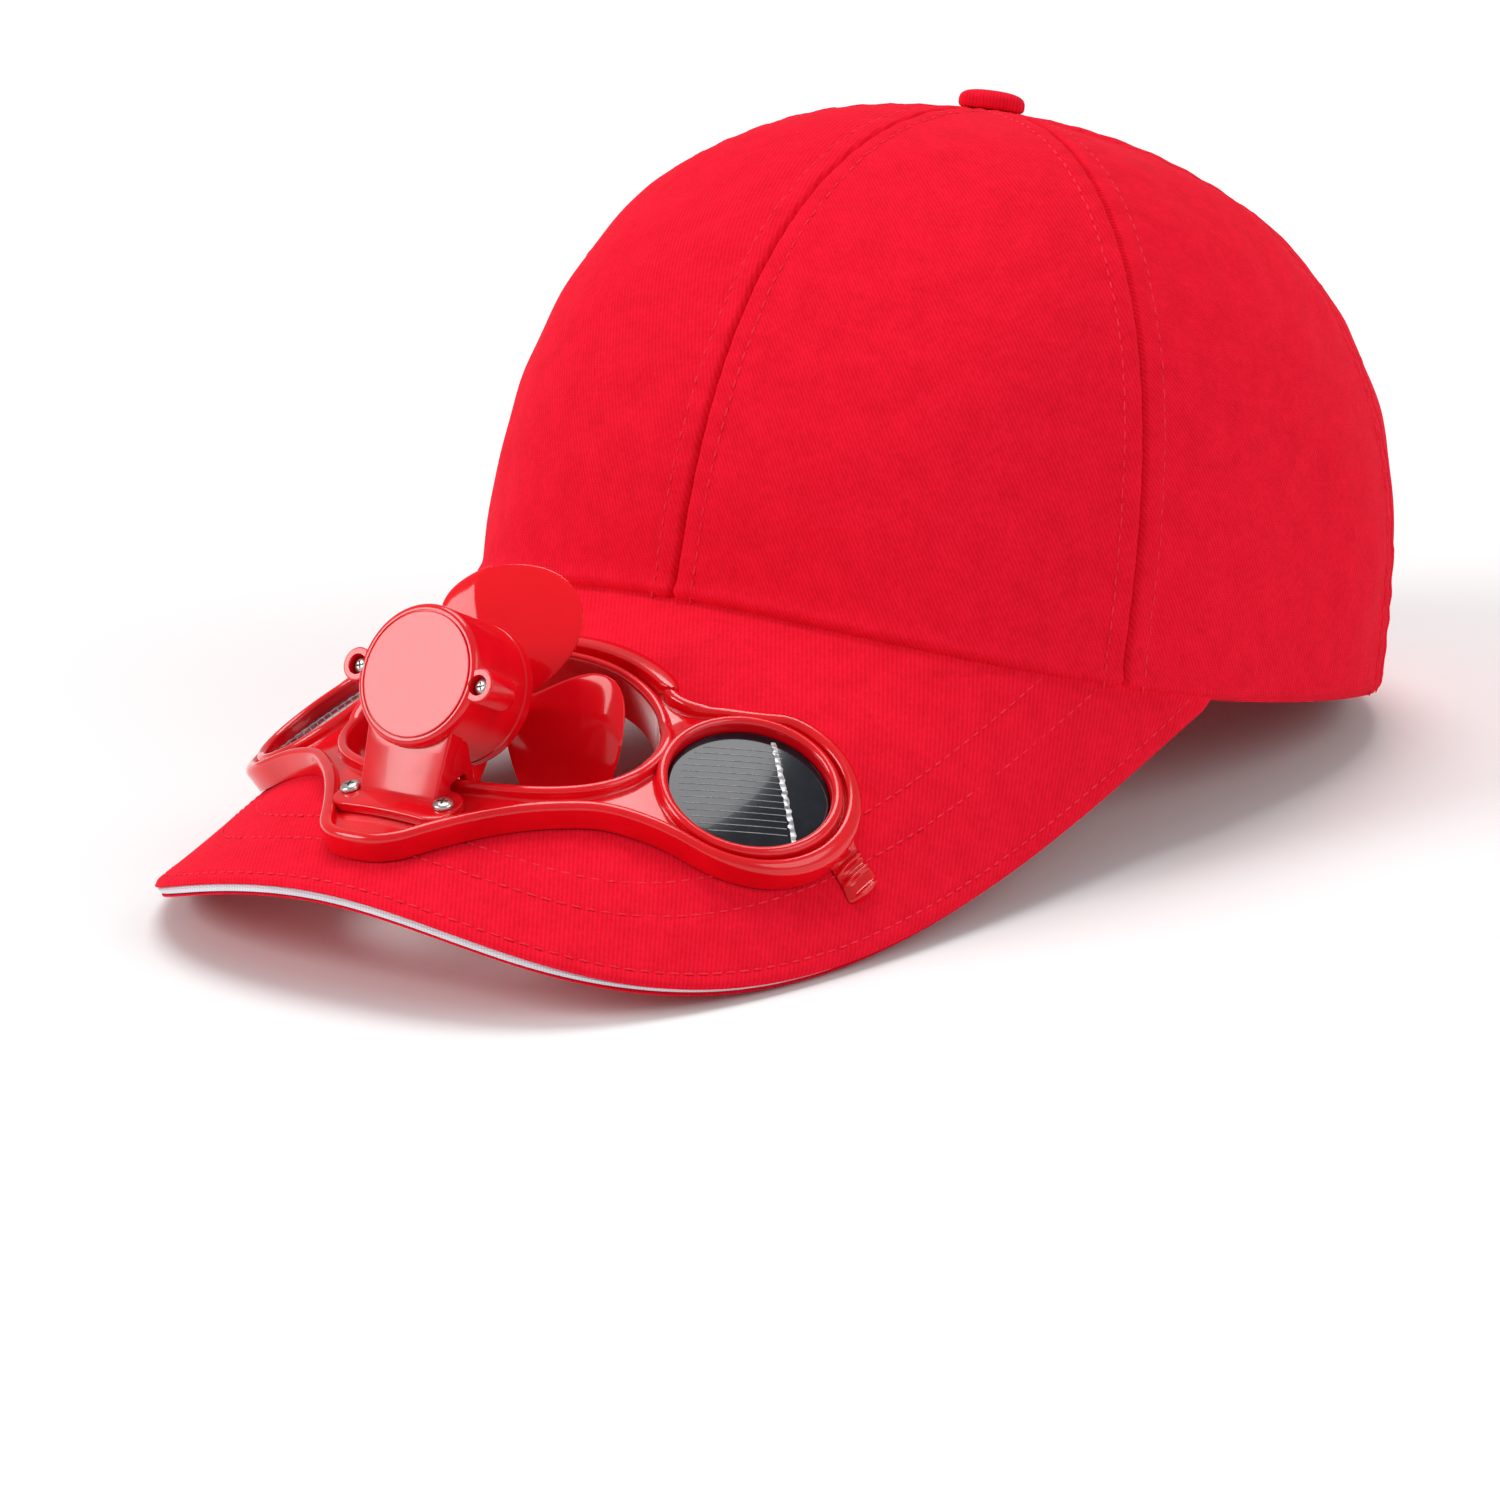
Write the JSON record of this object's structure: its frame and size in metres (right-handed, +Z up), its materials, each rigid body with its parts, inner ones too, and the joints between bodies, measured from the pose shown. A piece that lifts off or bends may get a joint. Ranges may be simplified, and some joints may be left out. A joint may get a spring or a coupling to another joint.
{
  "type": "solar fan hat",
  "caption": "Six-panel cloth cap with a bent peak that carries round solar panels and a small motor-driven fan in an opening, and an adjustable strap at the back.",
  "frame": {"origin": "middle of the footprint, on the surface that the hat rests on", "axes": "+Z up, +Y towards the back of the hat, +X towards the wearer's left; the crown leans back as it does at rest"},
  "size_m": [0.176, 0.2936, 0.1345],
  "materials": {
    "red_cloth": "matt cotton twill",
    "white_cloth": "matt",
    "red_plastic": "glossy moulded",
    "solar_cell": "glossy resin over dark cells",
    "screw_steel": "plain"
  },
  "bodies": {
    "cap": {"crown_panel_front_left": "red_cloth", "crown_panel_side_left": "red_cloth", "crown_panel_rear_left": "red_cloth", "crown_panel_rear_right": "red_cloth", "crown_panel_side_right": "red_cloth", "crown_panel_front_right": "red_cloth", "closure_strap": "red_cloth", "top_button": "red_cloth", "peak_upper": "red_cloth", "peak_sandwich": "white_cloth", "peak_lower": "red_cloth", "fan_plate": "red_plastic", "motor_housing": "red_plastic", "motor_bracket": "red_plastic", "solar_panel_left": "solar_cell", "solar_panel_right": "solar_cell", "bracket_screw_left": "screw_steel", "bracket_screw_right": "screw_steel", "housing_screw_left": "screw_steel", "housing_screw_right": "screw_steel"},
    "fan": {"fan_rotor": "red_plastic", "motor_shaft": "screw_steel"}
  },
  "joints": [
    {"name": "fan_spin", "type": "hinge", "parent": "cap", "child": "fan", "pos_m": [0, -0.09225, 0.04362], "axis": [0, -0.8896, 0.4568], "continuous": true}
  ]
}
